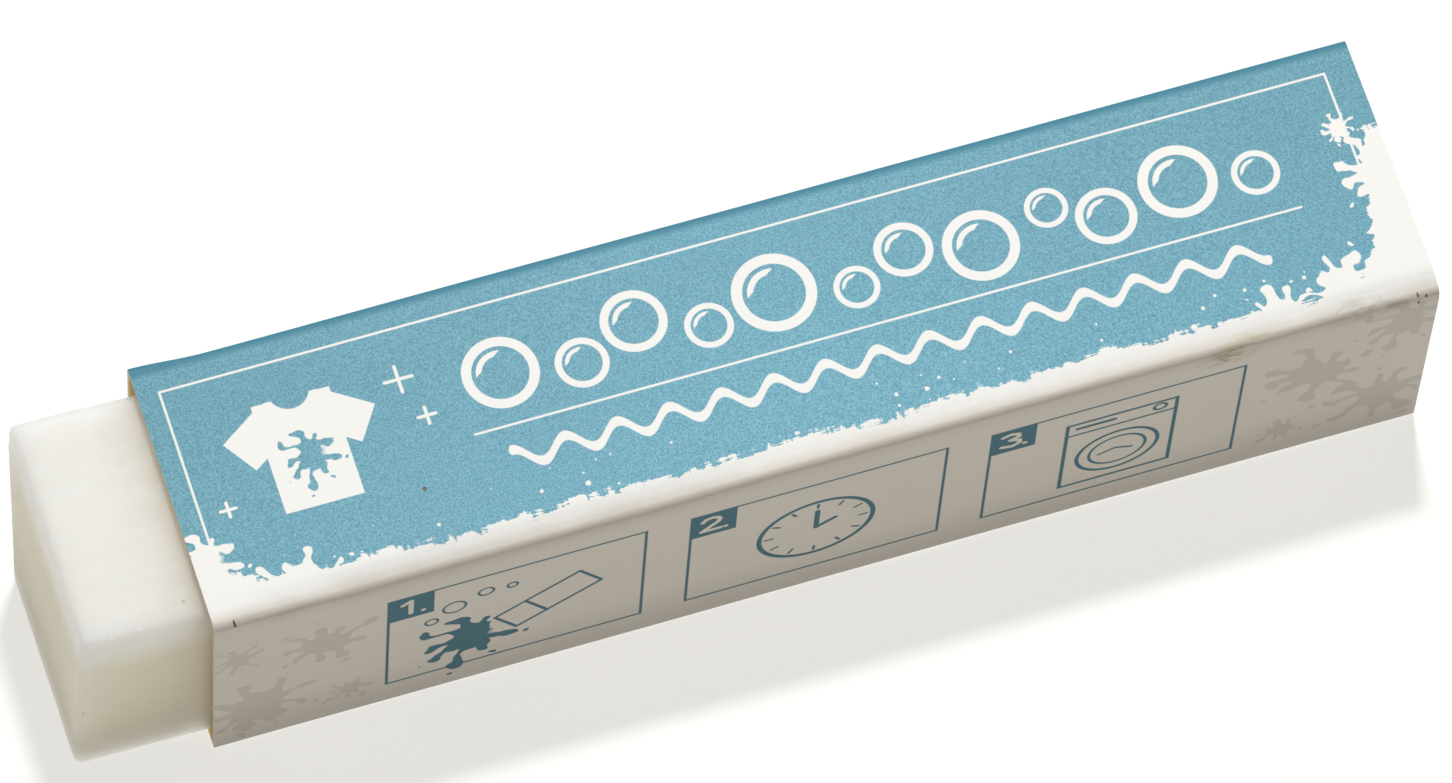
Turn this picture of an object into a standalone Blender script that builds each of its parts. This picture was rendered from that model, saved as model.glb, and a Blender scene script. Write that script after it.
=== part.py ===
"""A stain remover stick: a square bar of soap in a folded card sleeve.

The stick lies along X on the plane Z = 0, with the bar's tip towards -X and the printed top up.
The origin is below the middle of the whole stick. The card is one blank, scored and folded into a
tube that is open at both ends, and glued along a flap inside its back panel.
"""

import math

import bmesh
import bpy
from mathutils import Matrix, Vector

# Soap bar
bar_length = 0.098
bar_width = 0.020
bar_height = 0.0207
bar_reach = 0.0108
tip_lean = 0.0008
bar_edge_radius = 0.0010
worn_edge_radius = 0.0026

# Room round the bar in the sleeve
bar_clearance = 0.00025
front_room = 0.00087
top_room = 0.00075

# Card sleeve
sleeve_length = 0.098
card_thickness = 0.0004
fold_radius = 0.0007

# Glue seam
flap_depth = 0.013
flap_end_taper = 0.003
seam_edge_gap = 0.0003
glue_thickness = 0.0001
glue_clearance = 0.00004
glue_width = 0.007
glue_end_margin = 0.006
glue_corner_radius = 0.0015

# Smoothness
fold_segments = 4
edge_segments = 4
sharp_angle = math.radians(40)

# Finishes
printed_card_colour = (0.18, 0.40, 0.49)
printed_card_roughness = 0.5
bare_card_colour = (0.86, 0.84, 0.80)
bare_card_roughness = 0.6
dried_glue_colour = (0.86, 0.82, 0.70)
dried_glue_roughness = 0.35
soap_colour = (0.80, 0.79, 0.72)
soap_roughness = 0.42

# Sizes and places that follow from them. The front, the flap and the back are three layers of card.
glue_gap = glue_thickness + 2 * glue_clearance
sleeve_width = 3 * card_thickness + front_room + bar_width + bar_clearance + glue_gap
sleeve_height = 2 * card_thickness + bar_clearance + bar_height + top_room
stick_length = bar_reach + sleeve_length
tip_x = -stick_length / 2
mouth_x = tip_x + bar_reach
back_y = sleeve_width / 2
front_y = -sleeve_width / 2
flap_outer_y = back_y - card_thickness - glue_gap
flap_inner_y = flap_outer_y - card_thickness
bar_middle_y = flap_inner_y - bar_clearance - bar_width / 2
bar_middle_z = card_thickness + bar_clearance + bar_height / 2


def clear_scene():
    """Remove every object that the file opened with."""
    for thing in list(bpy.data.objects):
        bpy.data.objects.remove(thing, do_unlink=True)


def make_material(name, colour, roughness):
    """A plain Principled surface that isn't metal."""
    material = bpy.data.materials.new(name)
    material.use_nodes = True
    shader = material.node_tree.nodes["Principled BSDF"]
    shader.inputs["Base Color"].default_value = (*colour, 1.0)
    shader.inputs["Roughness"].default_value = roughness
    shader.inputs["Metallic"].default_value = 0.0
    material.diffuse_color = (*colour, 1.0)
    return material


def add_object(name, shape, collection, location=(0.0, 0.0, 0.0)):
    """Turn a bmesh into a named object in the collection."""
    mesh = bpy.data.meshes.new(name)
    shape.to_mesh(mesh)
    shape.free()
    thing = bpy.data.objects.new(name, mesh)
    thing.location = location
    collection.objects.link(thing)
    return thing


def smooth(thing):
    """Shade smooth, with the flat panels kept flat."""
    thing.data.shade_smooth()
    thing.data.set_sharp_from_angle(angle=sharp_angle)


def block(length, width, height):
    """A box around its own middle."""
    shape = bmesh.new()
    bmesh.ops.create_cube(shape, size=1.0, matrix=Matrix.Diagonal((length, width, height, 1.0)))
    return shape


def blank_outline():
    """The outer side of the folded blank, seen along X, from the flap's free edge to the back panel's."""
    return [
        Vector((0.0, flap_outer_y, flap_depth)),
        Vector((0.0, flap_outer_y, 0.0)),
        Vector((0.0, front_y, 0.0)),
        Vector((0.0, front_y, sleeve_height)),
        Vector((0.0, back_y, sleeve_height)),
        Vector((0.0, back_y, seam_edge_gap)),
    ]


def make_card_sleeve(collection):
    """One blank: flap, bottom, front, top and back panels, open at both ends."""
    shape = bmesh.new()
    outline = [shape.verts.new(point) for point in blank_outline()]
    for start, end in zip(outline, outline[1:]):
        shape.edges.new((start, end))
    swept = bmesh.ops.extrude_edge_only(shape, edges=shape.edges[:])
    far_end = [item for item in swept["geom"] if isinstance(item, bmesh.types.BMVert)]
    bmesh.ops.translate(shape, verts=far_end, vec=(sleeve_length, 0.0, 0.0))
    outline[0].co.x += flap_end_taper
    far_end[0].co.x -= flap_end_taper
    bmesh.ops.recalc_face_normals(shape, faces=shape.faces[:])
    sleeve = add_object("card_sleeve", shape, collection, (mouth_x, 0.0, 0.0))

    folds = sleeve.modifiers.new("folds", "BEVEL")
    folds.width = fold_radius
    folds.segments = fold_segments
    folds.limit_method = "ANGLE"
    card = sleeve.modifiers.new("card", "SOLIDIFY")
    card.thickness = card_thickness
    card.offset = -1.0
    card.use_even_offset = True
    sleeve.data.materials.append(make_material("bare_card", bare_card_colour, bare_card_roughness))
    sleeve.data.materials.append(make_material("printed_card", printed_card_colour, printed_card_roughness))
    for panel in sleeve.data.polygons:
        if panel.center.z > sleeve_height - card_thickness:
            panel.material_index = 1
    smooth(sleeve)
    return sleeve


def make_glue_strip(collection):
    """The dried film that holds the flap to the inside of the back panel."""
    shape = block(sleeve_length - 2 * glue_end_margin, glue_thickness, glue_width)
    middle = (
        mouth_x + sleeve_length / 2,
        flap_outer_y + glue_clearance + glue_thickness / 2,
        seam_edge_gap + flap_depth / 2,
    )
    across = [edge for edge in shape.edges if edge.verts[0].co.xz == edge.verts[1].co.xz]
    bmesh.ops.bevel(
        shape,
        geom=across,
        offset=glue_corner_radius,
        segments=fold_segments,
        profile=0.5,
        affect="EDGES",
    )
    strip = add_object("glue_strip", shape, collection, middle)
    strip.data.materials.append(make_material("dried_glue", dried_glue_colour, dried_glue_roughness))
    smooth(strip)
    return strip


def make_soap_bar(collection):
    """A square bar with rounded edges, a leaning tip and a blunter upright edge at the tip's back."""
    shape = block(bar_length, bar_width, bar_height)
    weight = shape.edges.layers.float.new("bevel_weight_edge")
    for edge in shape.edges:
        worn = all(corner.co.x < 0.0 < corner.co.y for corner in edge.verts)
        edge[weight] = 1.0 if worn else bar_edge_radius / worn_edge_radius
    for corner in shape.verts:
        if corner.co.x < 0.0 < corner.co.z:
            corner.co.x += tip_lean
    bar = add_object("soap_bar", shape, collection, (tip_x + bar_length / 2, bar_middle_y, bar_middle_z))

    edges = bar.modifiers.new("rounded_edges", "BEVEL")
    edges.width = worn_edge_radius
    edges.segments = edge_segments
    edges.limit_method = "WEIGHT"
    bar.data.materials.append(make_material("soap", soap_colour, soap_roughness))
    smooth(bar)
    return bar


def main():
    clear_scene()
    stick = bpy.data.collections.new("stain_remover_stick")
    bpy.context.scene.collection.children.link(stick)
    sleeve = make_card_sleeve(stick)
    strip = make_glue_strip(stick)
    make_soap_bar(stick)
    strip.parent = sleeve
    strip.matrix_parent_inverse = Matrix.Translation(sleeve.location).inverted()


main()
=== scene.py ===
"""A stain remover stick, dressed for the camera: a waxy bar of soap in a printed card sleeve.

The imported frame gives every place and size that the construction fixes. Lengths are in metres. The print
is laid out in millimetres, on the flat panel that carries it: along the sleeve from its mouth, and across
the panel from the front fold on the top, or up from the bottom fold on the front.
"""

import math

import bmesh
import bpy
from mathutils import Matrix, Vector


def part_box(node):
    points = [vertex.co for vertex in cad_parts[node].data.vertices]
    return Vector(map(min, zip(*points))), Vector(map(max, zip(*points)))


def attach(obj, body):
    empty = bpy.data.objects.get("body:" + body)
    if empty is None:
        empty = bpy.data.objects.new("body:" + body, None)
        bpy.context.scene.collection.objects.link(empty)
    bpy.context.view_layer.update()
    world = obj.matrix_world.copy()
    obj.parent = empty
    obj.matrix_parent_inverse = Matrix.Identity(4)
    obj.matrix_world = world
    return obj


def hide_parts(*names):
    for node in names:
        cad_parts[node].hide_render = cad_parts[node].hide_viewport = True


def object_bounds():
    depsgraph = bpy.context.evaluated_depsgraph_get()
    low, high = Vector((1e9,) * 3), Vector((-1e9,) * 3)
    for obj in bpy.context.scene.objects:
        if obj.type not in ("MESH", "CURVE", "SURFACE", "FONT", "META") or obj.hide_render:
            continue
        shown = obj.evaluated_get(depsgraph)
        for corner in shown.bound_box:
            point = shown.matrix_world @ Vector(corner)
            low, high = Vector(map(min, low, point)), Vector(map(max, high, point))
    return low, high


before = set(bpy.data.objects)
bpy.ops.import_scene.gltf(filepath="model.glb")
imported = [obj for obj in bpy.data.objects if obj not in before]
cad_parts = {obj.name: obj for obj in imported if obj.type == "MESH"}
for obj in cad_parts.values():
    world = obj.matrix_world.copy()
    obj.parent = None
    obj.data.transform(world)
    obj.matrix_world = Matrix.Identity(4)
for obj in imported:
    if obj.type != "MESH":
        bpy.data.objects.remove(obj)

bl_info = {
    "name": "Stain remover stick",
    "version": (1, 0, 0),
    "blender": (4, 5, 0),
    "location": "3D View > Sidebar > Stick",
    "description": "Models a bar of soap in a printed card sleeve, and the stage it lies on",
    "category": "Add Mesh",
}

# Places from the frame
cad_low, cad_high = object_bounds()
sleeve_low, sleeve_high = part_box("card_sleeve")
bar_low, bar_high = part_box("soap_bar")
bar_height = bar_high.z - bar_low.z
glue_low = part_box("glue_strip")[0]
mouth_x = sleeve_low.x
sleeve_length = sleeve_high.x - mouth_x
sleeve_width = sleeve_high.y - sleeve_low.y
sleeve_height = sleeve_high.z - sleeve_low.z
sleeve_middle = (sleeve_low + sleeve_high) / 2
mm = 0.001

# Camera, as the photograph was taken
photo_width = 1452
sensor_width = 36.0
focal_pixels = 11500.0
camera_azimuth = math.radians(-22.959)
camera_elevation = math.radians(64.598)
camera_roll = math.radians(5.515)
camera_distance = 0.8855
camera_aim = Vector((0.00139, 0.00137, 0.01125))


def to_linear(red, green, blue):
    """A screen colour from 0 to 255 as the linear colour that a shader takes."""
    def one(value):
        share = value / 255
        return share / 12.92 if share <= 0.04045 else ((share + 0.055) / 1.055) ** 2.4
    return (one(red), one(green), one(blue), 1.0)


# Settings that a user would change

colour_kind = {"subtype": "COLOR", "size": 4, "min": 0.0, "max": 1.0}


class SoapLook(bpy.types.PropertyGroup):
    """How the bar of soap looks"""
    pale: bpy.props.FloatVectorProperty(
        name="Pale", description="Colour of the clear, waxy parts",
        default=(0.85, 0.86, 0.83, 1.0), **colour_kind)
    warm: bpy.props.FloatVectorProperty(
        name="Warm", description="Colour of the denser, yellower parts",
        default=(0.84, 0.82, 0.73, 1.0), **colour_kind)
    # Painted shade: the sides of the bar get a darker, warmer colour than its top, for the warm shade that
    # falls on them.
    painted_side_shade: bpy.props.FloatVectorProperty(
        name="Painted side shade", description="Colour painted on the sides as their darker, warmer shade",
        default=(0.77, 0.72, 0.575, 1.0), **colour_kind)
    # Painted light: a warm tint on the bar by the mouth stands in for the warm light that the card lets
    # into the gap round it.
    painted_mouth_glow: bpy.props.FloatVectorProperty(
        name="Rubbed", description="Warm colour painted on the bar by the mouth, as light through the card",
        default=(0.92, 0.79, 0.6, 1.0), **colour_kind)
    edge_radius: bpy.props.FloatProperty(
        name="Edge radius", description="Rounding of the bar's edges", unit="LENGTH", default=0.0005)
    front_wear_along_top: bpy.props.FloatProperty(
        name="Front wear along the top", description="How far the worn front edge reaches into the top",
        unit="LENGTH", default=0.0004)
    front_wear_down: bpy.props.FloatProperty(
        name="Front wear down", description="How far the worn front edge reaches down the front",
        unit="LENGTH", default=0.0013)
    unevenness: bpy.props.FloatProperty(
        name="Unevenness", description="Depth of the slow waves in its faces", unit="LENGTH",
        default=0.00012)
    small_dents: bpy.props.FloatProperty(
        name="Small dents", description="Depth of the small dents in its faces", unit="LENGTH",
        default=0.00002)


class SleeveLook(bpy.types.PropertyGroup):
    """How the printed card sleeve looks"""
    ink: bpy.props.FloatVectorProperty(
        name="Ink", description="The blue printed on the top",
        default=to_linear(80, 141, 161), **colour_kind)
    thin_ink: bpy.props.FloatVectorProperty(
        name="Thin ink", description="The blue where the screen lays less ink",
        default=to_linear(121, 180, 198), **colour_kind)
    # The blue is darker over the back fold, on the top and where it turns onto the back.
    darker_fold_blue: bpy.props.FloatVectorProperty(
        name="Deep ink", description="The blue of the fold at the back",
        default=to_linear(65, 132, 154), **colour_kind)
    dark_ink: bpy.props.FloatVectorProperty(
        name="Dark ink", description="The blue of the frames and signs on the front",
        default=to_linear(43, 103, 118), **colour_kind)
    # The blots are print, and their grey is also darkened by the painted shade of the front panel.
    pale_ink_in_painted_shade: bpy.props.FloatVectorProperty(
        name="Pale ink", description="The grey of the blots at the ends of the front",
        default=(0.585, 0.54, 0.475, 1.0), **colour_kind)
    coated: bpy.props.FloatVectorProperty(
        name="Coated card", description="The white outside of the card",
        default=(0.88, 0.87, 0.84, 1.0), **colour_kind)
    # Painted shade: the front panel is a darker, warmer copy of the coated white, for the shade that it
    # stands in.
    painted_shade_card: bpy.props.FloatVectorProperty(
        name="Front card", description="The front panel's white, painted in shade",
        default=(0.70, 0.65, 0.575, 1.0), **colour_kind)
    inside: bpy.props.FloatVectorProperty(
        name="Card inside", description="The uncoated inside of the card",
        default=to_linear(226, 204, 170), **colour_kind)
    card_thickness: bpy.props.FloatProperty(
        name="Card thickness", description="Thickness of the folding board", unit="LENGTH", default=0.0004)
    fold_radius: bpy.props.FloatProperty(
        name="Fold radius", description="Outer radius of a sharp fold", unit="LENGTH", default=0.0004)
    worn_fold_radius: bpy.props.FloatProperty(
        name="Worn fold radius", description="Outer radius of the fold between front and top",
        unit="LENGTH", default=0.00075)
    flap_depth: bpy.props.FloatProperty(
        name="Flap depth", description="Width of the glue flap", unit="LENGTH", default=0.013)
    flap_taper: bpy.props.FloatProperty(
        name="Flap taper", description="How far the flap's corners are cut back", unit="LENGTH",
        default=0.003)
    seam_edge_gap: bpy.props.FloatProperty(
        name="Seam edge gap", description="How far the back panel stops above the table", unit="LENGTH",
        default=0.0003)
    waviness: bpy.props.FloatProperty(
        name="Waviness", description="Depth of the slow waves in the panels", unit="LENGTH",
        default=0.00008)


class StageLook(bpy.types.PropertyGroup):
    """Floor and light"""
    floor: bpy.props.FloatVectorProperty(
        name="Floor", description="Colour of the floor", default=(0.36, 0.357, 0.345, 1.0), **colour_kind)
    floor_glow: bpy.props.FloatProperty(
        name="Floor glow", description="Brightness of the lit table under the stick", default=0.70)
    floor_side: bpy.props.FloatProperty(
        name="Floor side", description="Width of the floor", unit="LENGTH", default=6.0)
    key_power: bpy.props.FloatProperty(
        name="Key power", description="Power of the soft box above and behind", unit="POWER", default=10.9)
    sky_strength: bpy.props.FloatProperty(
        name="Sky strength", description="Brightness of the even light all round", default=0.14)


# Modelling helpers

def start_clean():
    """Leave edit mode and deselect everything, so that an operator acts only on the new piece."""
    if bpy.context.mode != "OBJECT":
        bpy.ops.object.mode_set(mode="OBJECT")
    bpy.ops.object.select_all(action="DESELECT")


def named(name):
    """The primitive that was just added, under its own name."""
    piece = bpy.context.object
    piece.name = name
    piece.data.name = name
    return piece


def pick(piece, kind, test):
    """In edit mode, select the corners, edges or faces that pass the test, and nothing else."""
    bpy.ops.mesh.select_mode(type=kind)
    bpy.ops.mesh.select_all(action="DESELECT")
    shape = bmesh.from_edit_mesh(piece.data)
    for item in {"VERT": shape.verts, "EDGE": shape.edges, "FACE": shape.faces}[kind]:
        item.select_set(test(item))
    shape.select_flush_mode()
    bmesh.update_edit_mesh(piece.data)


def middle(edge):
    return (edge.verts[0].co + edge.verts[1].co) / 2


def lengthwise(edge):
    """Whether an edge runs along the stick."""
    run = edge.verts[1].co - edge.verts[0].co
    return abs(run.x) > run.yz.length


def apply_modifier(piece, kind, **settings):
    """Add one modifier, set it and apply it."""
    modifier = piece.modifiers.new(kind.lower(), kind)
    for key, value in settings.items():
        setattr(modifier, key, value)
    bpy.ops.object.modifier_apply(modifier=modifier.name)


def ripple(piece, name, size, depth, strength, level):
    """Push the surface in and out by soft clouds of this size, round the level that stays in place."""
    clouds = bpy.data.textures.new(name, "CLOUDS")
    clouds.noise_scale = size
    clouds.noise_depth = depth
    apply_modifier(piece, "DISPLACE", texture=clouds, strength=strength, mid_level=level,
                   texture_coords="LOCAL")


def slice_whole(place, way, **settings):
    """In edit mode, cut the whole piece at the plane through this place that faces this way."""
    bpy.ops.mesh.select_all(action="SELECT")
    bpy.ops.mesh.bisect(plane_co=place, plane_no=way, **settings)


def push_softly(step, reach):
    """In edit mode, move what is selected, and what lies within reach of it by less and less."""
    bpy.ops.transform.translate(value=step, use_proportional_edit=True,
                                proportional_edit_falloff="SMOOTH", proportional_size=reach)


def settle(piece, body, slot, *stands_for):
    """Place in the mesh, riding on its body, for the nodes that it replaces; the slot is not used."""
    bpy.ops.object.transform_apply(location=True, rotation=True, scale=True)
    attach(piece, body)
    if stands_for:
        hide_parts(*stands_for)


# Node helpers

class Pattern:
    """Adds nodes to one tree and joins them, so that a pattern reads as a formula."""

    def __init__(self, tree):
        self.tree = tree

    def add(self, kind, inputs, output=0, **settings):
        """A node with these settings and inputs; returns one of its outputs."""
        node = self.tree.nodes.new(kind)
        for key, value in settings.items():
            setattr(node, key, value)
        for key, value in inputs.items():
            self.feed(node.inputs[key], value)
        return node.outputs[output]

    def feed(self, socket, value):
        """Link a socket, or set its value."""
        if isinstance(value, bpy.types.NodeSocket):
            self.tree.links.new(value, socket)
        else:
            socket.default_value = value

    def math(self, operation, *values, clamp=False):
        return self.add("ShaderNodeMath", dict(enumerate(values)), operation=operation, use_clamp=clamp)

    def vector(self, operation, *values, output=0):
        return self.add("ShaderNodeVectorMath", dict(enumerate(values)), output, operation=operation)

    def plus(self, *values):
        return self.math("ADD", *values)

    def minus(self, *values):
        return self.math("SUBTRACT", *values)

    def times(self, *values):
        return self.math("MULTIPLY", *values)

    def times_plus(self, *values):
        """The first value times the second, plus the third."""
        return self.math("MULTIPLY_ADD", *values)

    def most(self, *values):
        return self.math("MAXIMUM", *values)

    def least(self, *values):
        return self.math("MINIMUM", *values)

    def positive(self, value):
        """The value without its sign."""
        return self.math("ABSOLUTE", value)

    def squared(self, value):
        return self.math("POWER", value, 2.0)

    def offset(self, point, place):
        """The way from a place to a point."""
        return self.vector("SUBTRACT", point, place)

    def dot(self, first, second):
        return self.vector("DOT_PRODUCT", first, second, output="Value")

    def scaled(self, point, scale):
        """A point times a number along each axis."""
        return self.vector("MULTIPLY", point, scale)

    def toned(self, colour, share):
        """A colour made lighter or darker by a share."""
        return self.blend(1.0, colour, self.joined(share, share, share), "MULTIPLY")

    def length(self, point):
        return self.vector("LENGTH", point, output="Value")

    def parts(self, point):
        """The x, y and z of a point."""
        node = self.tree.nodes.new("ShaderNodeSeparateXYZ")
        self.feed(node.inputs[0], point)
        return node.outputs

    def joined(self, x=0.0, y=0.0, z=0.0):
        return self.add("ShaderNodeCombineXYZ", {0: x, 1: y, 2: z})

    def grain(self, point, name):
        """One of the grains in the table, from about 0 to 1."""
        stretch, scale, detail, roughness = grains[name]
        point = self.scaled(point, stretch) if stretch else point
        inputs = {"Vector": point, "Scale": scale, "Detail": detail, "Roughness": roughness}
        return self.add("ShaderNodeTexNoise", inputs, "Fac")

    def toning(self, grain, low, high):
        """A grain stretched so that most of it lies between these two values."""
        return self.ramp(grain, *most_of_a_grain, low, high)

    def ramp(self, value, low, high, to_low=0.0, to_high=1.0, clamp=True):
        """The value moved from one span to another, held at both ends unless told otherwise."""
        inputs = {"Value": value, "From Min": low, "From Max": high, "To Min": to_low, "To Max": to_high}
        return self.add("ShaderNodeMapRange", inputs, "Result", clamp=clamp)

    def limited(self, value):
        """The value kept from 0 to 1."""
        return self.least(self.most(value, 0.0), 1.0)

    def blend(self, share, first, second, way="MIX"):
        """The first colour where the share is 0, the second where it is 1."""
        inputs = {0: share, 6: first, 7: second}
        return self.add("ShaderNodeMix", inputs, 2, data_type="RGBA", blend_type=way)

    def deepest(self, depths):
        """The depth in the union of shapes; each is joined as it comes, so that few are held at a time."""
        found = -1.0
        for depth in depths:
            found = self.most(found, depth)
        return found

    def use(self, group, **inputs):
        """Place a node group and fill its inputs, whose names are the keywords with a capital."""
        node = self.tree.nodes.new("ShaderNodeGroup")
        node.node_tree = group
        for key, value in inputs.items():
            self.feed(node.inputs[key.capitalize()], value)
        return node.outputs


def new_group(name, inputs, outputs):
    """An empty node group with its sockets; inputs and outputs are name and kind."""
    kinds = {"number": "NodeSocketFloat", "point": "NodeSocketVector", "colour": "NodeSocketColor"}
    group = bpy.data.node_groups.new(name, "ShaderNodeTree")
    for socket, kind in inputs:
        group.interface.new_socket(socket, in_out="INPUT", socket_type=kinds[kind])
    for socket, kind in outputs:
        group.interface.new_socket(socket, in_out="OUTPUT", socket_type=kinds[kind])
    entry = group.nodes.new("NodeGroupInput").outputs
    leave = group.nodes.new("NodeGroupOutput").inputs
    return group, Pattern(group), entry, leave


# Grains: how a noise is stretched, if at all, then its scale to the millimetre, detail and roughness

grains = {
    "board fibre": ((1.0, 2.6, 2.6), 1.1, 4.0, 0.65),
    "board specks": (None, 6.5, 2.0, 0.6),
    "board clouds": (None, 0.09, 2.0, 0.5),
    "inside fibre": ((1.0, 3.0, 3.0), 1.6, 5.0, 0.7),
    "cut edge fibre": (None, 6.0, 4.0, 0.7),
    "rubbed patches": (None, 0.35, 5.0, 0.7),
    "smear streaks": ((0.6, 2.5, 2.5), 1.1, 4.0, 0.7),
    "print screen": (None, 7.0, 2.0, 0.7),
    "fold shade wander": (None, 0.2, 3.0, 0.5),
    "torn edge sway": (None, 0.12, 2.0, 0.5),
    "torn edge teeth": (None, 0.9, 4.0, 0.7),
    "torn edge strokes": ((0.5, 3.2, 1.0), 0.8, 4.0, 0.75),
    "torn edge bays": (None, 0.45, 3.0, 0.7),
    "soap clouds": (None, 0.16, 3.0, 0.55),
    "soap veins": ((0.35, 1.6, 1.6), 0.5, 4.0, 0.6),
    "soap streaks": ((0.5, 0.8, 0.5), 0.7, 4.0, 0.6),
    "soap smears": ((0.4, 1.2, 1.2), 0.9, 4.0, 0.6),
    "soap pores": (None, 2.4, 5.0, 0.65),
    "glue ripples": (None, 0.8, 4.0, 0.5),
    "floor clouds": (None, 0.02, 2.0, 0.5),
}
most_of_a_grain = (0.3, 0.7)
middle_of_a_grain = 0.5


# Print groups. Each shape gives the depth of a point inside it in millimetres, below 0 outside.

edge_softness = 0.07


def inside(pattern, depth):
    """A mask that is 1 where the depth is above 0, with a soft edge."""
    return pattern.math("MULTIPLY_ADD", depth, 1 / edge_softness, 0.5, clamp=True)


def shape_group(name, points, numbers, depth):
    """A group that gives a point's depth in the shape that the function works out."""
    sockets = [(each, "point") for each in ("Point", *points)] + [(each, "number") for each in numbers]
    group, p, entry, leave = new_group(name, sockets, [("Depth", "number")])
    p.feed(leave["Depth"], depth(p, entry))
    return group


def stroke_depth(p, entry):
    """A straight pen stroke with round ends."""
    from_start = p.offset(entry["Point"], entry["Start"])
    run = p.offset(entry["End"], entry["Start"])
    share = p.limited(p.math("DIVIDE", p.dot(from_start, run), p.dot(run, run)))
    nearest = p.scaled(run, p.joined(share, share, share))
    distance = p.length(p.offset(from_start, nearest))
    return p.times_plus(entry["Width"], 0.5, p.times(distance, -1.0))


def ring_depth(p, entry):
    """A ring; one whose width is twice its radius is a disc."""
    distance = p.length(p.offset(entry["Point"], entry["Centre"]))
    off = p.positive(p.minus(distance, entry["Radius"]))
    return p.times_plus(entry["Width"], 0.5, p.times(off, -1.0))


# A bubble's rim and its patch of light, each by its place and half its width as shares of the radius
bubble_rim = (0.87, 0.13)
bubble_light = (0.55, 0.075)
bubble_light_way = (-0.6, 0.8, 0.0)
bubble_light_from = 0.4


def bubble_depth(p, entry):
    """A soap bubble: a ring, and the light's short arc inside its upper left."""
    offset = p.offset(entry["Point"], entry["Centre"])
    share = p.math("DIVIDE", p.length(offset), entry["Radius"])
    bands = (bubble_rim, bubble_light)
    rim, arc = (p.minus(half, p.positive(p.minus(share, place))) for place, half in bands)
    towards = p.math("DIVIDE", p.dot(offset, bubble_light_way), entry["Radius"])
    depth = p.most(rim, p.least(arc, p.minus(towards, bubble_light_from)))
    return p.times(depth, entry["Radius"])


def box_line_depth(p, entry):
    """A rectangle's outline, drawn inwards from its edge; a wide line fills it."""
    from_low = p.parts(p.offset(entry["Point"], entry["Low"]))
    from_high = p.parts(p.offset(entry["High"], entry["Point"]))
    depth = p.least(p.least(from_low["X"], from_low["Y"]), p.least(from_high["X"], from_high["Y"]))
    return p.least(depth, p.minus(entry["Width"], depth))


# A splash, in shares of its radius; what varies from arm to arm has its least value and its spread
blot_arms = 9
blot_body = 0.36
blot_sway = 0.5
sway_scale = 2.2
arm_reach = (0.48, 0.45)
arm_half_width = (0.03, 0.05)
arm_lean = (0.7, 0.4)
head_radius = (0.05, 0.09)
drop_radius = (-0.03, 0.11)
drop_beyond = 0.27
arm_join = 0.3
head_join = 0.12


def blot_depth(p, entry):
    """A splash: a wavy body, arms of uneven reach that end in round heads, and drops beyond them."""
    def drawn(chance, span):
        return p.times_plus(chance, span[1], span[0])

    size = p.joined(*[entry["Radius"]] * 3)
    offset = p.vector("DIVIDE", p.offset(entry["Point"], entry["Centre"]), size)
    place = p.vector("ADD", offset, p.joined(0.0, 0.0, entry["Seed"]))
    wander = p.add("ShaderNodeTexNoise", {"Vector": place, "Scale": sway_scale, "Detail": 1.0}, "Color")
    sway = p.scaled(p.offset(wander, (middle_of_a_grain,) * 3), (blot_sway, blot_sway, 0.0))
    offset = p.vector("ADD", offset, sway)
    distance = p.length(offset)
    way = p.parts(offset)
    turn = p.times_plus(p.math("ARCTAN2", way["Y"], way["X"]), blot_arms / math.tau, entry["Seed"])
    arm = p.math("FLOOR", turn)
    number = p.plus(p.math("FLOORED_MODULO", arm, blot_arms), p.times(entry["Seed"], blot_arms))
    chance = p.parts(p.add("ShaderNodeTexWhiteNoise", {"W": number}, "Color", noise_dimensions="1D"))
    lean = p.times_plus(chance["Z"], arm_lean[1], p.minus(p.minus(turn, arm), arm_lean[0]))
    lean = p.times(lean, math.tau / blot_arms)
    past = p.minus(p.times(distance, p.math("COSINE", lean)), drawn(chance["X"], arm_reach))
    aside = p.times(distance, p.math("SINE", lean))
    limb = p.minus(drawn(chance["Y"], arm_half_width), p.length(p.joined(p.most(past, 0.0), aside)))
    head = p.minus(drawn(chance["Y"], head_radius), p.length(p.joined(past, aside)))
    beyond_head = p.length(p.joined(p.minus(past, drop_beyond), aside))
    drop = p.minus(drawn(chance["Z"], drop_radius), beyond_head)
    depth = p.math("SMOOTH_MAX", p.minus(blot_body, distance), limb, arm_join)
    depth = p.most(p.math("SMOOTH_MAX", depth, head, head_join), drop)
    return p.times(depth, entry["Radius"])


# The board's surface: its tone and gloss, and how much each grain adds to them and to the relief
board_tone = 0.955
cloud_in_tone = 0.05
fibre_in_tone = 0.04
board_roughness = 0.46
fibre_in_roughness = 0.16
specks_in_relief = 0.35
rubbed_span = (0.42, 0.75)


def card_group():
    """The calendered surface of folding board: tone, gloss and relief."""
    group, p, entry, leave = new_group(
        "Board surface", [("Point", "point")],
        [("Tone", "number"), ("Roughness", "number"), ("Height", "number")])
    names = ("board fibre", "board specks", "board clouds")
    fibre, specks, clouds = (p.grain(entry["Point"], name) for name in names)
    tone = p.plus(p.times(clouds, cloud_in_tone), p.times(fibre, fibre_in_tone))
    p.feed(leave["Tone"], p.plus(tone, board_tone))
    p.feed(leave["Roughness"], p.times_plus(fibre, fibre_in_roughness, board_roughness))
    p.feed(leave["Height"], p.times_plus(specks, specks_in_relief, fibre))
    return group


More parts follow.
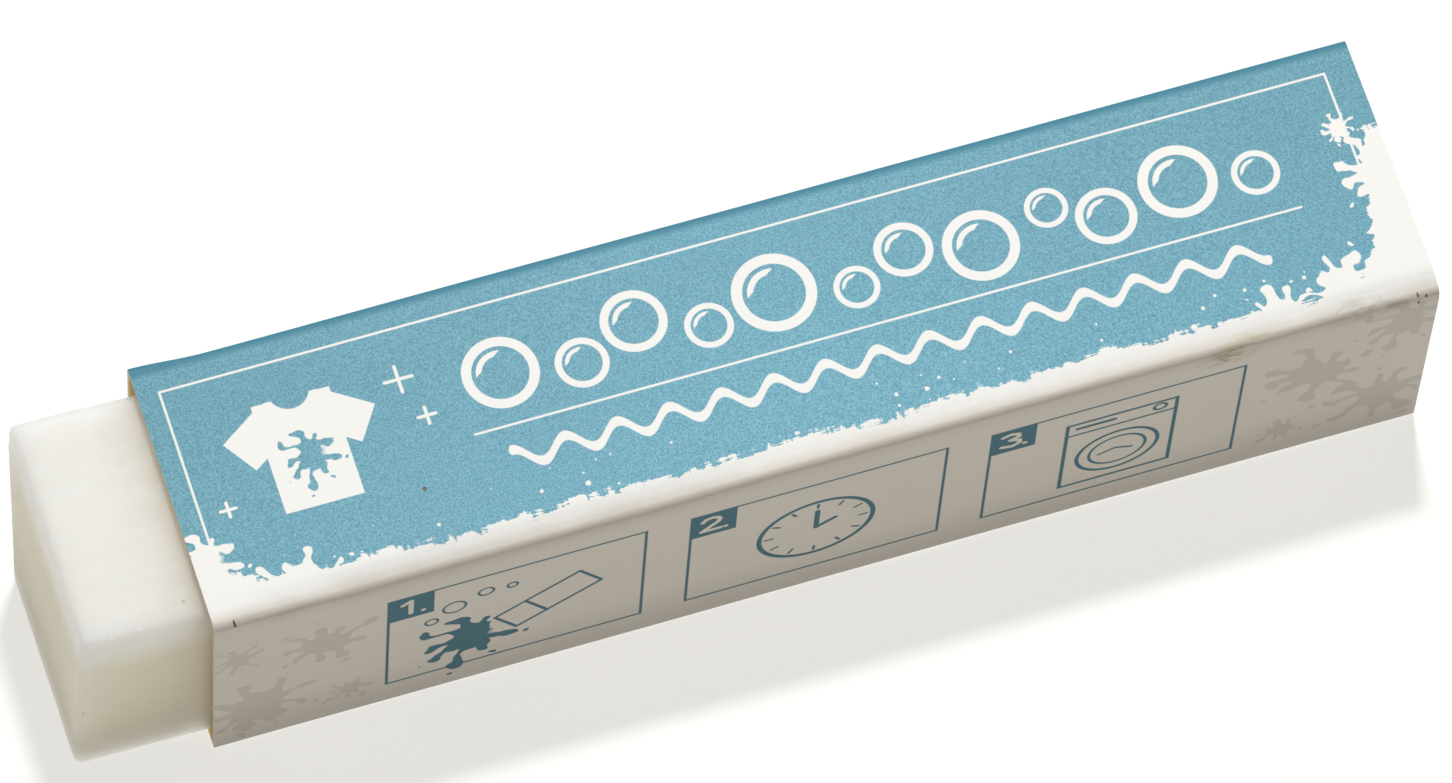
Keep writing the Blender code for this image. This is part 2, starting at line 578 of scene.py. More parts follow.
def rub_group():
    """Where the folds are rubbed: along the two long edges at the front, in patches."""
    group, p, entry, leave = new_group(
        "Rubbed fold", [("Point", "point"), ("Reach", "number")], [("Mask", "number")])
    place = p.parts(p.offset(entry["Point"], tuple(sleeve_middle / mm)))
    beside = p.positive(p.plus(place["Y"], sleeve_width / mm / 2))
    above = p.minus(sleeve_height / mm / 2, p.positive(place["Z"]))
    patches = p.ramp(p.grain(entry["Point"], "rubbed patches"), *rubbed_span)
    limit = p.times(patches, entry["Reach"])
    p.feed(leave["Mask"], inside(p, p.minus(limit, p.plus(beside, above))))
    return group


groups = {}


def make_groups():
    """Build each shared node group once."""
    groups.update(
        stroke=shape_group("Pen stroke", ("Start", "End"), ("Width",), stroke_depth),
        ring=shape_group("Ring", ("Centre",), ("Radius", "Width"), ring_depth),
        bubble=shape_group("Bubble", ("Centre",), ("Radius",), bubble_depth),
        box=shape_group("Box line", ("Low", "High"), ("Width",), box_line_depth),
        blot=shape_group("Blot", ("Centre",), ("Radius", "Seed"), blot_depth),
        card=card_group(), rub=rub_group())


def new_material(name, **sockets):
    """A material whose shader has these plain values, its pattern helper and its point in millimetres."""
    material = bpy.data.materials.new(name)
    material.use_nodes = True
    tree = material.node_tree
    shader = tree.nodes["Principled BSDF"]
    p = Pattern(tree)
    for key, value in sockets.items():
        shader.inputs[key.replace("_", " ")].default_value = value
    place = tree.nodes.new("ShaderNodeTexCoord").outputs["Object"]
    point = p.scaled(place, (1 / mm,) * 3)
    return material, p, shader.inputs, point


def bump(p, sockets, height, distance, strength=1.0):
    """Feed a relief to the shader's normal; the distance is in metres."""
    inputs = {"Height": height, "Distance": distance, "Strength": strength}
    p.feed(sockets["Normal"], p.add("ShaderNodeBump", inputs))


# Marks of use on the front fold, in millimetres: how far along it and down from the top. A nick's lean
# and length follow, or a smear's radius, strength and colour.

mark_inset = 0.2
nick_places = (
    (1.65, 0.3, 0.05, 0.4), (96.15, 0.3, 0.1, 0.4), (96.3, 1.3, 0.0, 0.2), (96.9, 0.8, 0.0, 0.1),
)
nick_line = 0.18
nick_space = (1.0, 0.25, 1.0)
nick_colour = (0.16, 0.09, 0.07, 1.0)
speck_place = Vector((18.6, 6.6, 0.0))
speck_radius = 0.18
smear_places = (
    (80.9, 1.7, 1.3, 0.85, (0.22, 0.22, 0.05, 1.0)),
    (82.2, 0.5, 1.1, 0.6, (0.42, 0.44, 0.16, 1.0)),
    (91.6, 0.5, 1.6, 0.55, (0.33, 0.29, 0.24, 1.0)),
    (5.5, 0.4, 1.5, 0.25, (0.42, 0.37, 0.30, 1.0)),
)
smear_space = (0.45, 1.0, 1.0)
smear_core = 0.2
smear_streaks = (0.42, 0.62)
rubbed_strength = 0.75
rub_reach = 0.3
front_rub_reach = 0.5

# Specks on the soap: place in millimetres from the corner of its tip, front and top, radius and colour

bar_corner = Vector((bar_low.x, bar_low.y, bar_high.z)) / mm
soap_specks = (
    ((0.8, 0.22, -11.4), 0.17, (0.30, 0.26, 0.20, 1.0)),
    ((5.6, 1.0, -0.1), 0.16, (0.95, 0.95, 0.92, 1.0)),
    ((3.4, 0.9, -0.2), 0.12, (0.95, 0.95, 0.92, 1.0)),
    ((9.4, 2.2, -0.05), 0.14, (0.62, 0.56, 0.46, 1.0)),
)

# Print on the top, in millimetres. A bubble, sparkle or blot has its place and radius, a blot its seed too.

panel_long = sleeve_length / mm
border_line = 0.19
border_start = Vector((1.65, -2.0, 0.0))
border_end = Vector((95.55, 20.2, 0.0))
rule = ((23.6, 9.8), (90.0, 9.8))
big_bubbles = (
    (27.0, 14.2, 3.0), (33.2, 13.2, 2.1), (38.0, 15.4, 2.6), (43.4, 13.4, 1.9), (49.0, 14.6, 3.3),
    (55.2, 13.2, 1.8), (59.6, 15.2, 2.3), (65.4, 13.8, 3.0), (71.2, 15.4, 1.7), (75.4, 13.4, 2.4),
    (81.6, 14.6, 3.1), (87.6, 13.6, 1.9),
)
wave_height = 7.0
wave_rise = 0.75
wave_pitch = 4.15
wave_start = 6.25 * wave_pitch
wave_end = 20.75 * wave_pitch
wave_line = 0.62
wave_slope = 0.75
shirt_place = Vector((4.6, 7.6, 0.0))
shirt_body = ((3.4, 0.0), (9.6, 9.3))
shirt_sleeves = (((4.7, 7.7), (1.4, 5.5)), ((8.3, 7.7), (11.6, 5.5)))
shirt_sleeve_width = 3.3
shirt_neck = (6.5, 9.9, 1.6)
shirt_spot = (6.7, 4.2, 2.9, 4.0)
sparkles = ((19.4, 15.9, 1.1), (20.6, 12.4, 0.7), (3.9, 9.2, 0.6))
sparkle_line = 0.26
top_blots = (
    (7.6, 1.6, 4.4, 1.0), (1.2, 5.4, 3.4, 4.0), (85.6, 1.6, 3.4, 2.0), (91.0, 2.6, 4.2, 7.0),
    (96.6, 10.6, 3.8, 6.0), (94.9, 15.4, 1.7, 3.0),
)

# The torn white edge along the front fold, and the spray of small drops above it, in millimetres

torn_low = -0.2
torn_sway = 2.4
torn_teeth = 2.6
torn_strokes = 2.2
mouth_climb = 4.2
mouth_climb_span = (9.0, 0.0)
end_climb = 12.5
end_climb_span = (panel_long - 6.0, panel_long - 1.5)
end_bays = 4.0
spray_scale = 0.85
spray_share = (0.8, 1.0)
spray_span = (6.5, 0.5)
spray_radius = 0.42

# How the blue changes over the top and runs over its folds, with a painted sheen that is lightest in the
# middle and painted shade towards the front fold. A span of millimetres comes first, from the front fold or
# in from the back, and the tones at its two ends follow.

# Painted sheen: the blue's tone in the middle of the top and at its ends.
painted_sheen_tones = (1.06, 0.94)
across_tones = (3.0, 18.0, 1.08, 1.0)
screen_span = (0.36, 0.64)
back_fold_span = (21.5, 22.0)
# Painted shade over the front fold: where it starts and where it is full, in millimetres from the fold.
painted_fold_shade_span = (1.9, 0.9)
back_torn_line = 11.0
back_fold_inset = (1.5, 1.4)
back_fold_drop = 1.2

# Print on the front, in millimetres. Signs start at the lower left corner of their frame, the clock's
# lines at its middle. Boxes and pens begin with the width of their line, and rings end with it.

# Painted shade: the front is darker towards the table; its span in millimetres up from the bottom fold,
# then the tones at both ends.
painted_front_foot_shade = (0.0, 7.0, 0.82, 1.0)
front_frame_start = Vector((13.7, 3.25, 0.0))
front_frame_size = Vector((20.7, 15.3, 0.0))
front_frame_pitch = 24.1
front_frame_line = 0.24
tag_size = Vector((3.75, 3.95, 0.0))
digit_height = 2.2
digit_line = 0.42
digit_inset = (0.9, 0.85)
digit_stop = (2.0, 0.0)

# The corners of each number's strokes, in shares of its height
digits = (
    ((0.15, 0.78), (0.45, 1.0), (0.45, 0.0)),
    ((0.05, 0.76), (0.16, 0.93), (0.38, 1.0), (0.60, 0.93), (0.68, 0.74), (0.60, 0.55), (0.03, 0.0),
     (0.72, 0.0)),
    ((0.06, 0.88), (0.34, 1.0), (0.62, 0.90), (0.65, 0.68), (0.34, 0.53), (0.68, 0.40), (0.70, 0.16),
     (0.42, 0.0), (0.04, 0.10)),
)
front_blots = (
    (3.4, 6.0, 5.6, 3.0), (8.8, 14.2, 4.6, 5.0), (2.0, 15.6, 2.6, 8.0), (11.0, 4.6, 2.2, 1.0),
    (88.6, 13.2, 5.4, 6.0), (94.6, 6.2, 5.2, 9.0), (86.4, 4.4, 2.4, 2.0), (95.6, 18.4, 4.6, 4.0),
)
rubbed_bar = ((9.9, 5.9), (15.7, 9.7))
rubbed_bar_width = 3.2
rubbed_spot = (6.8, 4.7, 5.2, 4.0)
rubbing_lines = {
    "pens": (
        (0.3, (8.7, 6.9), (10.5, 4.2), (17.2, 8.6), (15.4, 11.3), (8.7, 6.9)),
        (0.3, (11.1, 8.5), (12.9, 5.8)),
    ),
    "rings": (
        (5.4, 11.0, 0.9, 0.22), (7.9, 12.3, 0.6, 0.22), (10.0, 12.2, 0.4, 0.22), (3.6, 9.4, 0.5, 0.22),
    ),
}
clock_middle = (10.4, 7.2)
clock_hours = 12
hour_line = 0.24
hour_reach = (3.5, 4.1)
clock_lines = {"pens": ((0.45, (0.0, 2.9), (0.0, 0.0), (1.5, 0.9)),), "rings": ((0.0, 0.0, 4.6, 0.42),)}
washer_lines = {
    "boxes": ((0.32, (6.2, 1.6), (15.4, 13.0)),),
    "pens": (
        (0.26, (6.3, 10.9), (15.3, 10.9)),
        (0.4, (7.2, 11.95), (10.2, 11.95)),
        (0.26, (9.3, 6.0), (10.6, 6.5), (12.0, 5.9)),
    ),
    "rings": ((10.8, 6.2, 3.3, 0.34), (10.8, 6.2, 2.3, 0.26), (13.9, 11.95, 0.5, 0.26)),
}


def flat(along, across):
    return Vector((along, across, 0.0))


def pen(p, point, corners, width, place=Vector((0.0, 0.0, 0.0)), size=1.0):
    """The strokes that join these corners in turn."""
    spots = [place + flat(*corner) * size for corner in corners]
    for start, end in zip(spots, spots[1:]):
        yield p.use(groups["stroke"], point=point, start=start, end=end, width=width)["Depth"]


def ring(p, point, centre, radius, width):
    return p.use(groups["ring"], point=point, centre=centre, radius=radius, width=width)["Depth"]


def disc(p, point, centre, radius):
    return ring(p, point, centre, radius / 2, radius)


def box_line(p, point, low, high, width):
    return p.use(groups["box"], point=point, low=low, high=high, width=width)["Depth"]


def cut(p, depth, hole):
    """The shape without the hole."""
    return p.least(depth, p.times(hole, -1.0))


def beyond(p, point, place, way):
    """The depth past the straight line that crosses this way at this place."""
    return p.dot(p.offset(point, place), way)


def blots(p, point, places):
    for along, across, radius, seed in places:
        centre = flat(along, across)
        yield p.use(groups["blot"], point=point, centre=centre, radius=radius, seed=seed)["Depth"]


def torn_edge(p, point):
    """The white left along the front fold, with a dry, ragged upper edge that climbs at both ends."""
    along, across = p.parts(point)["X"], p.parts(point)["Y"]
    line = p.joined(along)
    sway = p.grain(line, "torn edge sway")
    teeth = p.grain(line, "torn edge teeth")
    strokes = p.grain(point, "torn edge strokes")
    near_mouth = p.squared(p.ramp(along, *mouth_climb_span))
    bays = p.times_plus(p.grain(p.joined(across), "torn edge bays"), end_bays, p.minus(along, end_bays / 2))
    near_end = p.squared(p.ramp(bays, *end_climb_span))
    edge = p.times_plus(sway, torn_sway, p.times_plus(teeth, torn_teeth, torn_low))
    edge = p.times_plus(near_mouth, mouth_climb, edge)
    edge = p.times_plus(near_end, end_climb, edge)
    edge = p.times_plus(p.minus(strokes, middle_of_a_grain), torn_strokes, edge)
    return p.minus(edge, across)


def spray(p, point):
    """Small round drops, thinner away from the front fold."""
    cells = p.tree.nodes.new("ShaderNodeTexVoronoi")
    cells.voronoi_dimensions = "2D"
    p.feed(cells.inputs["Vector"], point)
    p.feed(cells.inputs["Scale"], spray_scale)
    size = p.parts(cells.outputs["Color"])["X"]
    across = p.parts(point)["Y"]
    limit = p.times(p.ramp(size, *spray_share), p.ramp(across, *spray_span, 0.0, spray_radius))
    return p.minus(limit, p.math("DIVIDE", cells.outputs["Distance"], spray_scale))


def shirt(p, point):
    """A white shirt with a blot on its chest."""
    low, high = (shirt_place + flat(*corner) for corner in shirt_body)
    cloth = box_line(p, point, low, high, high.x - low.x)
    for ends in shirt_sleeves:
        shoulder, cuff = (shirt_place + flat(*end) for end in ends)
        sleeve = p.deepest(pen(p, point, ends, shirt_sleeve_width, shirt_place))
        cloth = p.deepest([cloth, cut(p, sleeve, beyond(p, point, cuff, (cuff - shoulder).normalized()))])
    along, across, radius = shirt_neck
    cloth = cut(p, cloth, disc(p, point, shirt_place + flat(along, across), radius))
    along, across, radius, seed = shirt_spot
    return cut(p, cloth, *blots(p, point, [(shirt_place.x + along, shirt_place.y + across, radius, seed)]))


def wave(p, point):
    """A wavy line of water under the rule."""
    along, across = p.parts(point)["X"], p.parts(point)["Y"]
    swing = p.math("SINE", p.times(along, math.tau / wave_pitch))
    off = p.positive(p.minus(across, p.times_plus(swing, wave_rise, wave_height)))
    past = p.most(p.minus(wave_start, along), p.minus(along, wave_end))
    distance = p.length(p.joined(p.times(off, wave_slope), p.most(past, 0.0)))
    return p.minus(wave_line / 2, distance)


def top_print(p, point):
    """Everything that is left white in the blue of the top panel."""
    yield box_line(p, point, border_start, border_end, border_line)
    yield from pen(p, point, rule, border_line)
    for along, across, radius in big_bubbles:
        yield p.use(groups["bubble"], point=point, centre=flat(along, across), radius=radius)["Depth"]
    yield wave(p, point)
    yield shirt(p, point)
    for along, across, arm in sparkles:
        yield from pen(p, point, [(along - arm, across), (along + arm, across)], sparkle_line)
        yield from pen(p, point, [(along, across - arm), (along, across + arm)], sparkle_line)
    yield from blots(p, point, top_blots)
    yield spray(p, point)
    yield torn_edge(p, point)


def drawn(p, point, place, boxes=(), pens=(), rings=()):
    """The boxes, pen strokes and rings of a sign, measured from a place."""
    for width, low, high in boxes:
        yield box_line(p, point, place + flat(*low), place + flat(*high), width)
    for width, *corners in pens:
        yield from pen(p, point, corners, width, place)
    for along, across, radius, width in rings:
        yield ring(p, point, place + flat(along, across), radius, width)


def rubbing_sign(p, point, place):
    """A bar rubbed over a spot, with bubbles."""
    bar_side = p.deepest(pen(p, point, rubbed_bar, rubbed_bar_width, place))
    along, across, radius, seed = rubbed_spot
    spot = p.deepest(blots(p, point, [(place.x + along, place.y + across, radius, seed)]))
    yield cut(p, spot, bar_side)
    yield from drawn(p, point, place, **rubbing_lines)


def clock_sign(p, point, place):
    """A plain clock face."""
    centre = place + flat(*clock_middle)
    for hour in range(clock_hours):
        turn = math.tau * hour / clock_hours
        way = flat(math.sin(turn), math.cos(turn))
        yield from pen(p, point, [tuple(way.xy * reach) for reach in hour_reach], hour_line, centre)
    yield from drawn(p, point, centre, **clock_lines)


def washer_sign(p, point, place):
    """A front-loading washing machine."""
    yield from drawn(p, point, place, **washer_lines)


def tag_place(index):
    """The lower left corner of a frame's tag."""
    return front_frame_start + flat(front_frame_pitch * index, front_frame_size.y - tag_size.y)


def front_ink(p, point):
    """The frames, tags and signs in dark ink on the front."""
    for index, sign in enumerate((rubbing_sign, clock_sign, washer_sign)):
        low = front_frame_start + flat(front_frame_pitch * index, 0.0)
        yield box_line(p, point, low, low + front_frame_size, front_frame_line)
        yield box_line(p, point, tag_place(index), tag_place(index) + tag_size, tag_size.x)
        yield from sign(p, point, low)


def front_digits(p, point):
    """The plain numbers left white in the tags."""
    for index, corners in enumerate(digits):
        place = tag_place(index) + flat(*digit_inset)
        yield from pen(p, point, corners, digit_line, place, digit_height)
        yield disc(p, point, place + flat(*digit_stop), digit_line / 2)


# Materials

card_specular = 0.25
board_relief = 0.00002
board_relief_strength = 0.6
fibre_relief = 0.00005
inside_tones = (0.88, 1.08)


def fold_place(along, below):
    """A place on the rounded front fold, by how far down it lies."""
    return Vector((mouth_x / mm + along, sleeve_low.y / mm + mark_inset, sleeve_high.z / mm - below))


def nicks(p, point):
    """Short, dark scratches in the print, narrow across the fold's round."""
    for along, below, lean, length in nick_places:
        start = fold_place(along, below) * Vector(nick_space)
        end = fold_place(along + lean, below + length) * Vector(nick_space)
        near = p.scaled(point, nick_space)
        yield p.use(groups["stroke"], point=near, start=start, end=end, width=nick_line)["Depth"]


def marks(p, point):
    """What handling has left on the front fold, nicks and then smears: each mask and its colour."""
    yield inside(p, p.deepest(nicks(p, point))), nick_colour
    for along, below, radius, strength, colour in smear_places:
        away = p.scaled(p.offset(point, fold_place(along, below)), smear_space)
        near = p.ramp(p.length(away), radius, radius * smear_core)
        streaks = p.ramp(p.grain(point, "smear streaks"), *smear_streaks)
        yield p.times(p.times(near, streaks), strength), colour


def finish_card(p, sockets, point, colour, look, reach):
    """Give printed card its tone, folds rubbed over this reach, marks of use, gloss and relief."""
    surface = p.use(groups["card"], point=point)
    rubbed = p.use(groups["rub"], point=point, reach=reach)["Mask"]
    colour = p.blend(p.times(rubbed, rubbed_strength), colour, look.coated)
    for share, mark in marks(p, point):
        colour = p.blend(share, colour, mark)
    p.feed(sockets["Base Color"], p.toned(colour, surface["Tone"]))
    p.feed(sockets["Roughness"], surface["Roughness"])
    bump(p, sockets, surface["Height"], board_relief, board_relief_strength)


def screened(p, point, look):
    """The printed blue, with the fine grain of its screen."""
    return p.blend(p.ramp(p.grain(point, "print screen"), *screen_span), look.ink, look.thin_ink)


def top_material(look):
    """Blue field with white motifs, a painted sheen, and painted shade towards the front fold."""
    material, p, sockets, point = new_material("printed_top_card", Specular_IOR_Level=card_specular)
    shifted = p.parts(p.offset(point, (mouth_x / mm, sleeve_low.y / mm, 0.0)))
    flat_point = p.joined(shifted["X"], shifted["Y"])
    white = inside(p, p.deepest(top_print(p, flat_point)))
    # Painted sheen: the blue is lighter in the middle of the top than at its ends.
    from_middle = p.positive(p.minus(shifted["X"], panel_long / 2))
    blue = p.toned(screened(p, point, look), p.ramp(from_middle, 0.0, panel_long / 2, *painted_sheen_tones))
    blue = p.toned(blue, p.ramp(shifted["Y"], *across_tones))
    blue = p.blend(p.ramp(shifted["Y"], *back_fold_span), blue, look.darker_fold_blue)
    colour = p.blend(white, blue, look.coated)
    colour = p.blend(inside(p, disc(p, flat_point, speck_place, speck_radius)), colour, nick_colour)
    # Painted shade: the top turns to the shaded front's colour towards the rounded front fold, with a
    # wandering edge.
    wander = p.grain(p.joined(shifted["X"]), "fold shade wander")
    painted_fold_shade_share = p.ramp(p.plus(shifted["Y"], wander), *painted_fold_shade_span)
    finish_card(p, sockets, point, p.blend(painted_fold_shade_share, colour, look.painted_shade_card), look, rub_reach)
    return material


def front_material(look):
    """Card painted in shade and darker towards the table, with pale blots at both ends, and three numbered
    signs.
    """
    material, p, sockets, point = new_material("printed_front_card", Specular_IOR_Level=card_specular)
    shifted = p.parts(p.offset(point, (mouth_x / mm, 0.0, sleeve_low.z / mm)))
    flat_point = p.joined(shifted["X"], shifted["Z"])
    pale = inside(p, p.deepest(blots(p, flat_point, front_blots)))
    ink = inside(p, p.deepest(front_ink(p, flat_point)))
    digit = inside(p, p.deepest(front_digits(p, flat_point)))
    ink = p.math("SUBTRACT", ink, digit, clamp=True)
    colour = p.blend(pale, look.painted_shade_card, look.pale_ink_in_painted_shade)
    # Painted shade: the front is darker towards the table.
    colour = p.toned(colour, p.ramp(shifted["Z"], *painted_front_foot_shade))
    finish_card(p, sockets, point, p.blend(ink, colour, look.dark_ink), look, front_rub_reach)
    return material


def back_material(look):
    """White card into which the blue runs over the top fold."""
    material, p, sockets, point = new_material("plain_back_card", Specular_IOR_Level=card_specular)
    shifted = p.parts(p.offset(point, (mouth_x / mm, 0.0, sleeve_high.z / mm)))
    down = p.times(shifted["Z"], -1.0)
    flat_point = p.joined(shifted["X"], p.minus(back_torn_line, down))
    white = inside(p, torn_edge(p, flat_point))
    behind = p.ramp(p.parts(point)["Y"], *(sleeve_high.y / mm - inset for inset in back_fold_inset))
    share = p.times(p.minus(1.0, white), behind)
    blue = p.blend(p.ramp(down, 0.0, back_fold_drop), look.darker_fold_blue, screened(p, point, look))
    finish_card(p, sockets, point, p.blend(share, look.coated, blue), look, rub_reach)
    return material


def inside_material(look):
    """Uncoated inside of the card, which glows a little with the light on its other side."""
    material, p, sockets, point = new_material(
        "card_inside", Roughness=0.85, Specular_IOR_Level=card_specular, Subsurface_Weight=1.0,
        Subsurface_Radius=(1.0, 0.8, 0.55), Subsurface_Scale=0.0012)
    fibre = p.grain(point, "inside fibre")
    p.feed(sockets["Base Color"], p.toned(look.inside, p.toning(fibre, *inside_tones)))
    bump(p, sockets, fibre, fibre_relief)
    return material


def cut_edge_material(look):
    """The cut edge of the board, pale and fibrous."""
    material, p, sockets, point = new_material(
        "card_cut_edge", Roughness=0.8, Specular_IOR_Level=card_specular)
    fibre = p.grain(point, "cut edge fibre")
    p.feed(sockets["Base Color"], p.blend(fibre, look.inside, look.coated))
    bump(p, sockets, fibre, fibre_relief)
    return material


# Tones of the soap: places in millimetres below its top, back from its middle or from the mouth, then
# the tones there. Most are painted: shade on the sides, at the foot and at the back, and warm light by the
# mouth.
vein_warmth = 0.5
cloud_warmth = 0.6
warm_span = (0.3, 0.85)
painted_side_shade_depth = 4.5
painted_foot_shade_from = 8.0
painted_foot_shade_tone = 0.42
painted_back_shade = (2.0, 9.0, 1.0, 0.88)
painted_glow_before_mouth = 2.5
painted_glow_in_sleeve = (7.0, 1.0, 0.0, 0.5)
streak_tones = (0.985, 1.01)
soap_roughness = (0.46, 0.6)
smears_in_relief = 1.2
soap_relief = 0.00005
soap_relief_strength = 0.4


def soap_material(look):
    """Waxy, slightly clouded soap that light sinks into, with painted shade on its sides, foot and back,
    and painted warm light by the mouth.
    """
    material, p, sockets, point = new_material(
        "waxy_soap", IOR=1.45, Specular_IOR_Level=0.35, Subsurface_Weight=1.0,
        Subsurface_Radius=(1.0, 1.0, 1.0), Subsurface_Scale=0.016)
    clouds = p.grain(point, "soap clouds")
    veins = p.grain(point, "soap veins")
    warmth = p.times_plus(veins, vein_warmth, p.times(clouds, cloud_warmth))
    colour = p.blend(p.ramp(warmth, *warm_span), look.pale, look.warm)
    place = p.parts(point)
    below_top = p.minus(bar_high.z / mm, place["Z"])
    # Painted shade: from its top down, the bar turns to the darker, warmer colour of its shaded sides.
    colour = p.blend(p.ramp(below_top, 0.0, painted_side_shade_depth), colour, look.painted_side_shade)
    # Painted shade: the bar darkens towards its foot, by the table.
    painted_foot_shade = p.squared(p.ramp(below_top, painted_foot_shade_from, bar_height / mm))
    colour = p.toned(colour, p.ramp(painted_foot_shade, 0.0, 1.0, 1.0, painted_foot_shade_tone))
    # Painted shade: the bar is darker towards its back, to hold down the light that enters it from behind.
    colour = p.toned(colour, p.ramp(place["Y"], *painted_back_shade))
    # Painted light: the bar turns warm and light just before and inside the mouth, for the light that the
    # card lets into the gap.
    mouth = mouth_x / mm
    before = p.ramp(place["X"], mouth - painted_glow_before_mouth, mouth)
    painted_glow_end, painted_glow_full, *painted_glow_shares = painted_glow_in_sleeve
    within = p.ramp(place["X"], mouth + painted_glow_end, mouth + painted_glow_full, *painted_glow_shares)
    colour = p.blend(p.times(before, within), colour, look.painted_mouth_glow)
    colour = p.toned(colour, p.toning(p.grain(point, "soap streaks"), *streak_tones))
    for spot, radius, mark in soap_specks:
        colour = p.blend(inside(p, disc(p, point, bar_corner + Vector(spot), radius)), colour, mark)
    p.feed(sockets["Base Color"], colour)
    smears = p.grain(point, "soap smears")
    p.feed(sockets["Roughness"], p.toning(smears, *soap_roughness))
    pores = p.grain(point, "soap pores")
    bump(p, sockets, p.times_plus(smears, smears_in_relief, pores), soap_relief, soap_relief_strength)
    return material


glue_colours = ((0.80, 0.74, 0.58, 1.0), (0.88, 0.85, 0.74, 1.0))
glue_roughness = (0.25, 0.5)
glue_relief = 0.0001


def glue_material():
    """Dried, yellowish glue."""
    material, p, sockets, point = new_material("dried_glue", Specular_IOR_Level=0.5)
    ripples = p.grain(point, "glue ripples")
    p.feed(sockets["Base Color"], p.blend(ripples, *glue_colours))
    p.feed(sockets["Roughness"], p.toning(ripples, *glue_roughness))
    bump(p, sockets, ripples, glue_relief)
    return material


floor_tones = (0.995, 1.005)
glow_colour = (1.0, 0.985, 0.95, 1.0)
sky_colour = (1.0, 0.93, 0.82, 1.0)


def floor_material(look):
    """Matt, pale studio table that glows a little, so that shadows on it stay light."""
    material, p, sockets, point = new_material(
        "studio_floor", Roughness=0.9, Specular_IOR_Level=0.1, Emission_Color=glow_colour,
        Emission_Strength=look.floor_glow)
    clouds = p.toning(p.grain(point, "floor clouds"), *floor_tones)
    p.feed(sockets["Base Color"], p.toned(look.floor, clouds))
    return material


# Pieces

fold_angle = math.radians(50)
smooth_angle = math.radians(35)


class STICK_OT_soap_bar(bpy.types.Operator):
    """Model the bar of soap: rounded, leaning at its tip, and a little uneven"""
    bl_idname = "stain_stick.make_soap_bar"
    bl_label = "Make the soap bar"

    tip_lean: bpy.props.FloatProperty(default=0.0008, unit="LENGTH")
    tip_swing: bpy.props.FloatProperty(default=0.00024, unit="LENGTH")
    worn_along: bpy.props.FloatProperty(default=0.0036, unit="LENGTH")
    worn_behind: bpy.props.FloatProperty(default=0.0026, unit="LENGTH")
    skin: bpy.props.FloatProperty(default=0.00003, unit="LENGTH")
    voxel: bpy.props.FloatProperty(default=0.00036, unit="LENGTH")

    def execute(self, context):
        look = context.scene.soap_look
        start_clean()
        size = bar_high - bar_low - Vector((1, 1, 1)) * 2 * self.skin
        centre = (bar_low + bar_high) / 2
        low = centre - size / 2
        high = centre + size / 2
        bpy.ops.mesh.primitive_cube_add(size=1.0, location=centre)
        bar = named("waxy_soap_bar")
        bar.scale = size
        bpy.ops.object.transform_apply(location=True, rotation=True, scale=True)

        bpy.ops.object.mode_set(mode="EDIT")
        pick(bar, "VERT", lambda corner: corner.co.x < centre.x and corner.co.z > centre.z)
        bpy.ops.transform.translate(value=(self.tip_lean, 0, 0))
        on_end = Vector((low.x, high.y - self.worn_along, low.z))
        on_back = Vector((low.x + self.worn_behind, high.y, low.z))
        at_top = Vector((low.x + self.tip_lean, high.y, high.z))
        worn_side = (on_back - at_top).cross(on_end - at_top).normalized()
        slice_whole(on_end, worn_side, use_fill=True, clear_outer=True)
        worn_front = Vector((0, -look.front_wear_down, look.front_wear_along_top)).normalized()
        slice_whole((0, low.y, high.z - look.front_wear_down), worn_front, use_fill=True, clear_outer=True)
        slice_whole((mouth_x, 0, 0), (1, 0, 0))
        pick(bar, "VERT", lambda corner: corner.co.x < (mouth_x + low.x) / 2)
        bpy.ops.transform.translate(value=(0, self.tip_swing, 0))
        pick(bar, "EDGE", lambda edge: edge.calc_face_angle(0.0) > fold_angle
             and max(corner.co.z for corner in edge.verts) > centre.z)
        bpy.ops.mesh.bevel(offset=look.edge_radius, segments=4, affect="EDGES")
        bpy.ops.object.mode_set(mode="OBJECT")

        apply_modifier(bar, "REMESH", mode="VOXEL", voxel_size=self.voxel)
        apply_modifier(bar, "SMOOTH", factor=0.6, iterations=4)
        ripple(bar, "slow_waves", size=0.011, depth=2, strength=look.unevenness, level=0.75)
        ripple(bar, "small_dents", size=0.0022, depth=3, strength=look.small_dents, level=0.7)
        bpy.ops.object.shade_smooth()
        bar.data.materials.append(soap_material(look))
        settle(bar, "bar", "soap", "soap_bar")
        return {"FINISHED"}


# Where the front fold is pushed down, in millimetres from the mouth, and by how much more from there on
fold_crushes = (
    (0.5, 0.14), (4.0, 0.14), (9.0, 0.16), (38.0, -0.12), (43.0, -0.1), (78.0, 0.08), (90.0, 0.1),
)


